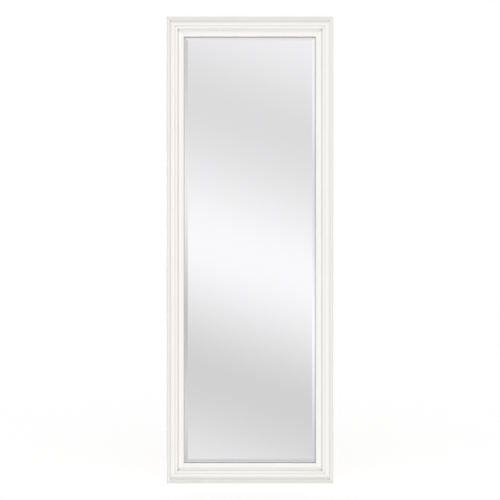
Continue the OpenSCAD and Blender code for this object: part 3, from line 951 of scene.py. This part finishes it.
def add_thread(mesh, place):
    """Adds the shank: a core with a point, and a thread wound round it."""
    core, crest, length, pitch = 0.0012, 0.00175, 0.014, 0.0014
    point = 0.0035
    half_flank = 0.00035
    thread_start, thread_end = 0.001, 0.0016
    sunk = 0.0001
    lathe(mesh, [(0, -length), (core, point - length), (core, -0.0002), (0, 0.0002)], 12, place)
    steps = 18
    turns = (length - thread_end) / pitch
    rings = []
    for i in range(int(turns * steps) + 1):
        a = 2 * math.pi * i / steps
        height = -thread_start - pitch * i / steps
        taper = min(1.0, max(0.05, (height + length) / point))
        start_taper = min(1.0, 0.1 + i / steps)
        root = (core - sunk) * taper
        out = root + (crest - core + sunk) * taper * start_taper
        flanks = ((root, half_flank), (out, 0), (root, -half_flank))
        rings.append([mesh.verts.new(place(radius * math.cos(a), radius * math.sin(a), height + shift))
                      for radius, shift in flanks])
    mesh.faces.new(rings[0])
    for before, after in zip(rings, rings[1:]):
        join_rows(mesh, before, after)
    mesh.faces.new(rings[-1])


head_pattern = screw_head()
screw_turns = random.Random(7)
screw_steel = plated_steel("passivated_screw_steel", (0.66, 0.63, 0.55), (0.50, 0.47, 0.40), 0.26, 0.42, 250)


def add_screws(name, node, places):
    """One piece for a group of screws: where each stands, and the height of its seat."""
    mesh = bmesh.new()
    for x, z, seat in places:
        place = seen_from_behind(x, z, screw_turns.uniform(0, math.pi / 2))
        verts = [mesh.verts.new(place(v.co.x, v.co.y, v.co.z + seat)) for v in head_pattern.vertices]
        for polygon in head_pattern.polygons:
            face = mesh.faces.new([verts[i] for i in polygon.vertices])
            face.smooth = polygon.use_smooth
        add_thread(mesh, lambda across, up, out: place(across, up, out + seat))
    piece = finish_mesh(mesh, name)
    piece.data.set_sharp_from_angle(angle=math.radians(40))
    put_finishes(piece, [screw_steel])
    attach(piece, "frame")
    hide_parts(node)


button_seat = 0.0016
add_screws("turn_button_pan_screws", "turn_button_screws",
           [(joint_places[node].x, joint_places[node].z, button_seat) for node in button_nodes])


# Flat corner plates, one on the back of each mitre. They are stamped from zinc-plated steel,
# and four screws hold each one down.
plate_width = 0.016
plate_reach = 0.054
plate_screw_pitch = 0.028
plate_thickness = 0.0015
plate_steel = plated_steel("zinc_plated_plate", (0.68, 0.69, 0.70), (0.52, 0.53, 0.55), 0.26, 0.44, 45)
plate_hole_places = []
for node in sorted(nodes_named("corner_plate_")):
    low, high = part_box(node)
    side_x = 1 if low.x > 0 else -1
    side_z = 1 if low.z > middle_height else -1
    corner_x = (high.x if side_x > 0 else low.x) - side_x * plate_width / 2
    corner_z = (high.z if side_z > 0 else low.z) - side_z * plate_width / 2

    def from_corner(inwards, along, out):
        """Maps the plate's layout, with its corner at the origin, to this corner's back."""
        return corner_x - side_x * inwards, back_plane + out, corner_z - side_z * along

    end_radius = plate_width / 2
    outline = arc((plate_reach, 0), (end_radius, end_radius), -90, 90, 20)
    outline += [(end_radius, end_radius)]
    outline += arc((0, plate_reach), (end_radius, end_radius), 0, 180, 20)
    outline += arc((0, 0), (end_radius, end_radius), 180, 270, 12)
    inner_hole = plate_reach - plate_screw_pitch
    holes = [(plate_reach, 0), (inner_hole, 0), (0, plate_reach), (0, inner_hole)]
    for hole in holes:
        x, _, z = from_corner(*hole, 0)
        plate_hole_places.append((x, z, plate_thickness))
    mesh = bmesh.new()
    outlines = [outline] + [circle(hole, plain_hole_radius) for hole in holes]
    add_sheet(mesh, outlines, 0, plate_thickness, 0.0003, from_corner)
    plate = finish_mesh(mesh, node + "_stamping")
    put_finishes(plate, [plate_steel])
    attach(plate, "frame")
    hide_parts(node)
add_screws("corner_plate_pan_screws", "corner_plate_screws", plate_hole_places)


# Hangers, four of them: two to hang the mirror upright and two to hang it sideways. A nickel-
# plated strap is rolled round the straight bar of a D-ring, which swings in it.
strap_thickness = 0.0012
strap_half_width = 0.007
wire_radius = 0.0015
loop_bore = 0.00165
pivot_height = 0.00295
nickel_strap = plated_steel("nickel_plated_strap", (0.74, 0.715, 0.67), (0.60, 0.575, 0.53), 0.16, 0.30, 70)
nickel_wire = plated_steel("nickel_plated_wire", (0.78, 0.755, 0.71), (0.66, 0.63, 0.585), 0.12, 0.22, 60)


def add_rolled_loop(mesh, place):
    """Adds the strap's rolled end, a rounded strip led round the bar and back to the strap."""
    middle_radius = loop_bore + strap_thickness / 2
    rolled_turn, steps = 306, 30
    overlap = 0.0008            # the loop starts this far inside the flat strap
    path = [(-overlap, strap_thickness / 2, 0.0)]
    for i in range(steps + 1):
        heading = math.radians(rolled_turn * i / steps)
        along, up = middle_radius * math.sin(heading), -middle_radius * math.cos(heading)
        path.append((along, pivot_height + up, heading))
    edge_radius = 0.0003
    section = []
    for cx, cy, start in ((1, -1, -90), (1, 1, 0), (-1, 1, 90), (-1, -1, 180)):
        centre = (cx * (strap_half_width - edge_radius), cy * (strap_thickness / 2 - edge_radius))
        section += arc(centre, (edge_radius, edge_radius), start, start + 90, 3)
    rows = []
    for along, out, heading in path:
        sine, cosine = math.sin(heading), math.cos(heading)
        rows.append([mesh.verts.new(place(across, along - off * sine, out + off * cosine))
                     for across, off in section])
    for here, there in zip(rows, rows[1:]):
        join_rows(mesh, here, there, smooth=True)
    mesh.faces.new(rows[0])
    mesh.faces.new(rows[-1])


def ring_path():
    """The middle line of a D-ring's wire at rest, from its bar, folded down over its strap."""
    half_width, bend, side = 0.0125, 0.003, 0.001
    bar_half = half_width - bend
    points = [(bar_half * t / 6, 0) for t in range(-6, 7)]
    points += arc((bar_half, -bend), (bend, bend), 90, 0, 8)[1:]
    points += arc((0, -bend - side), (half_width, half_width), 0, -180, 36)
    points += arc((-bar_half, -bend), (bend, bend), 180, 90, 8)[:-1]
    return points


def add_wire(mesh, place, around=16):
    """Adds a D-ring's wire, led round its middle line."""
    path = ring_path()
    rows = []
    for i, (across, up) in enumerate(path):
        before, after = Vector(path[i - 1]), Vector(path[(i + 1) % len(path)])
        heading = (after - before).normalized()
        row = []
        for j in range(around):
            a = 2 * math.pi * j / around
            off, out = wire_radius * math.cos(a), pivot_height + wire_radius * math.sin(a)
            row.append(mesh.verts.new(place(across + heading.y * off, up - heading.x * off, out)))
        rows.append(row)
    for here, there in zip(rows, rows[1:] + rows[:1]):
        join_rows(mesh, here, there, smooth=True)


strap_reach = 0.046         # from the bar to the strap's round end
strap_end = strap_half_width - strap_reach
strap_holes = [(0, -0.038), (0, -0.025)]
hanger_screw_places = []
for node in sorted(nodes_named("hanger_ring_")):
    hanger = node.replace("hanger_ring_", "")
    pivot = joint_places[node]
    turn = math.radians(90) if hanger.startswith("sideways") else 0.0
    place = seen_from_behind(pivot.x, pivot.z, turn)
    outline = [(strap_half_width, 0), (-strap_half_width, 0)]
    outline += arc((0, strap_end), (strap_half_width, strap_half_width), 180, 360, 28)
    for hole in strap_holes:
        x, _, z = place(*hole, 0)
        hanger_screw_places.append((x, z, strap_thickness))
    mesh = bmesh.new()
    outlines = [outline] + [circle(hole, plain_hole_radius) for hole in strap_holes]
    add_sheet(mesh, outlines, 0, strap_thickness, 0.0003, place)
    add_rolled_loop(mesh, place)
    strap = finish_mesh(mesh, f"hanger_strap_{hanger}_rolled")
    strap.data.set_sharp_from_angle(angle=math.radians(40))
    put_finishes(strap, [nickel_strap])
    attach(strap, "frame")
    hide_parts("hanger_strap_" + hanger)
    mesh = bmesh.new()
    add_wire(mesh, place)
    ring = finish_mesh(mesh, node + "_wire")
    put_finishes(ring, [nickel_wire])
    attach(ring, node)
    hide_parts(node)
add_screws("hanger_pan_screws", "hanger_screws", hanger_screw_places)


# Wall bumpers, four studs of black rubber, moulded and stuck to the corners of the back. They
# keep the frame off the wall.
bumper_base_radius = 0.0075
bumper_end_radius = 0.0055
bumper_flange = 0.0006
for node in sorted(nodes_named("wall_bumper_")):
    low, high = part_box(node)
    height = high.y - low.y
    edge_radius = bumper_base_radius - bumper_end_radius
    profile = [(0, 0), (bumper_base_radius - 0.0002, 0), (bumper_base_radius, 0.0002)]
    profile += arc((bumper_end_radius, bumper_flange), (edge_radius, height - bumper_flange), 0, 82, 14)
    profile += [(bumper_end_radius, height), (0, height)]
    mesh = bmesh.new()
    lathe(mesh, profile, 48, seen_from_behind((low.x + high.x) / 2, (low.z + high.z) / 2))
    bumper = finish_mesh(mesh, node + "_stud")
    bumper.data.set_sharp_from_angle(angle=math.radians(40))
    put_finishes(bumper, [black_rubber])
    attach(bumper, "frame")
    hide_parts(node)


# Floor pads, two strips of pale, non-marking rubber, stuck under the bottom rail.
pale_rubber = moulded_rubber("pale_rubber", (0.74, 0.74, 0.72), (0.82, 0.82, 0.80))
pad_corner = 0.002
for node in ("floor_pad_left", "floor_pad_right"):
    low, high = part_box(node)
    outline = []
    for side_x, side_y, start in ((-1, -1, 180), (1, -1, 270), (1, 1, 0), (-1, 1, 90)):
        x = (high.x if side_x > 0 else low.x) - side_x * pad_corner
        y = (high.y if side_y > 0 else low.y) - side_y * pad_corner
        outline += arc((x, y), (pad_corner, pad_corner), start, start + 90, 5)
    mesh = bmesh.new()
    add_sheet(mesh, [outline], low.z, high.z, 0.0004, straight_up)
    pad = finish_mesh(mesh, node + "_strip")
    put_finishes(pad, [pale_rubber])
    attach(pad, "frame")
    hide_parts(node)


# The studio: a pale floor, and soft light from all round. The world is white to the camera.
# Gloss sees the studio's broad soft bands of light, which give the mirror its tone.
def band_group():
    """A soft band of light, brightest at its middle height and fading on both sides."""
    group, start, end = new_group("soft_band", ("Height", "Middle", "Width", "Strength"), ("Light",))
    away = math_node(group, "SUBTRACT", start.outputs["Height"], start.outputs["Middle"])
    scaled = math_node(group, "DIVIDE", away, start.outputs["Width"])
    fade = math_node(group, "EXPONENT", times(group, times(group, scaled, scaled), -1))
    feed(group, times(group, fade, start.outputs["Strength"]), end.inputs["Light"])
    return group


soft_band = band_group()


def band(tree, height, middle, width, strength):
    """The light of one soft band at a height, or at a place across."""
    values = {"Height": height, "Middle": middle, "Width": width, "Strength": strength}
    return place_group(tree, soft_band, values)[0]


def mix_light(tree, factor, first, second):
    """A Mix node on two strengths of light."""
    node = tree.nodes.new("ShaderNodeMix")
    for socket, value in (("Factor", factor), ("A", first), ("B", second)):
        feed(tree, value, node.inputs[socket])
    return node.outputs["Result"]


world = bpy.data.worlds.new("studio")
bpy.context.scene.world = world
world.use_nodes = True
tree = world.node_tree
tree.nodes.clear()
across, depth, up = own_axes(tree, "Generated")

# What gloss sees: the light rises from the floor to the ceiling, with soft bands between. Each
# band has its middle, its width and its strength, and some are darker than what lies round them
band_tilt = 0.318
floor_light, ceiling_light = 0.631, 0.898
rise_start, rise_end = -0.014, 0.201
level_bands = (
    (-0.008, 0.071, 0.341), (0.124, 0.047, -0.088), (-0.106, 0.021, -0.019),
    (-0.193, 0.043, 0.174), (0.30, 0.045, -0.075), (-0.38, 0.06, 0.14),
    (-0.62, 0.07, 0.20), (-0.86, 0.06, 0.14), (0.55, 0.08, -0.16),
)
upright_bands = ((-0.17, 0.06, -0.105), (0.17, 0.06, 0.045))
height = plus(tree, up, times(tree, across, band_tilt))
gloss_light = stretch(tree, height, floor_light, ceiling_light, rise_start, rise_end, eased=True)
for middle, width, strength in level_bands:
    gloss_light = plus(tree, gloss_light, band(tree, height, middle, width, strength))
for middle, width, strength in upright_bands:
    gloss_light = plus(tree, gloss_light, band(tree, across, middle, width, strength))

# Behind the mirror gloss sees a dim room under a bright ceiling, so that the metal shows form
dim_room = stretch(tree, up, 0.30, 1.0, -0.35, 0.55)
gloss_light = mix_light(tree, stretch(tree, depth, 0, 1, 0.0, 0.25), gloss_light, dim_room)

# What lights the object: broad light in front, a softer one behind and above, and a band of
# lamps all round at the height of the eye, brighter at the sides
front, behind, above, eye_level = 1.08, 0.35, 1.6, 3.22
eye_band_width = 0.15
lamps_in_front, lamps_at_sides = 0.4, 1.8
forward = math_node(tree, "MAXIMUM", times(tree, depth, -1), 0)
backward = math_node(tree, "MAXIMUM", depth, 0)
upward = math_node(tree, "MAXIMUM", up, 0)
lit = times(tree, times(tree, forward, forward), front)
lit = plus(tree, times(tree, backward, behind), lit)
lit = plus(tree, times(tree, times(tree, backward, upward), above), lit)
sideways = plus(tree, times(tree, times(tree, across, across), lamps_at_sides), lamps_in_front)
lit = plus(tree, times(tree, band(tree, up, 0, eye_band_width, eye_level), sideways), lit)

ray = tree.nodes.new("ShaderNodeLightPath").outputs
gloss_or_glass = math_node(tree, "MAXIMUM", ray["Is Glossy Ray"], ray["Is Transmission Ray"])
strength = mix_light(tree, ray["Is Camera Ray"], mix_light(tree, gloss_or_glass, lit, gloss_light), 1)
background = tree.nodes.new("ShaderNodeBackground")
background.inputs["Color"].default_value = (1, 1, 1, 1)
feed(tree, strength, background.inputs["Strength"])
feed(tree, background.outputs[0], tree.nodes.new("ShaderNodeOutputWorld").inputs["Surface"])

reach = 12
floor_corners = [(-reach, -reach, 0), (reach, -reach, 0), (reach, reach, 0), (-reach, reach, 0)]
floor_mesh = bpy.data.meshes.new("studio_floor")
floor_mesh.from_pydata(floor_corners, [], [(0, 1, 2, 3)])
floor = bpy.data.objects.new("studio_floor", floor_mesh)
bpy.context.scene.collection.objects.link(floor)
floor_paint, tree, shader = new_material("pale_floor")
shader.inputs["Base Color"].default_value = (0.8, 0.8, 0.8, 1)
shader.inputs["Roughness"].default_value = 0.9
shader.inputs["Specular IOR Level"].default_value = 0
shader.inputs["Emission Color"].default_value = (1, 1, 1, 1)
glow_to_camera = 0.6        # pale to the eye, and dim enough for the shadow to show
ray = tree.nodes.new("ShaderNodeLightPath").outputs
feed(tree, times(tree, ray["Is Camera Ray"], glow_to_camera), shader.inputs["Emission Strength"])
floor.data.materials.append(floor_paint)
floor.visible_glossy = False
floor.visible_diffuse = False
floor.visible_shadow = False
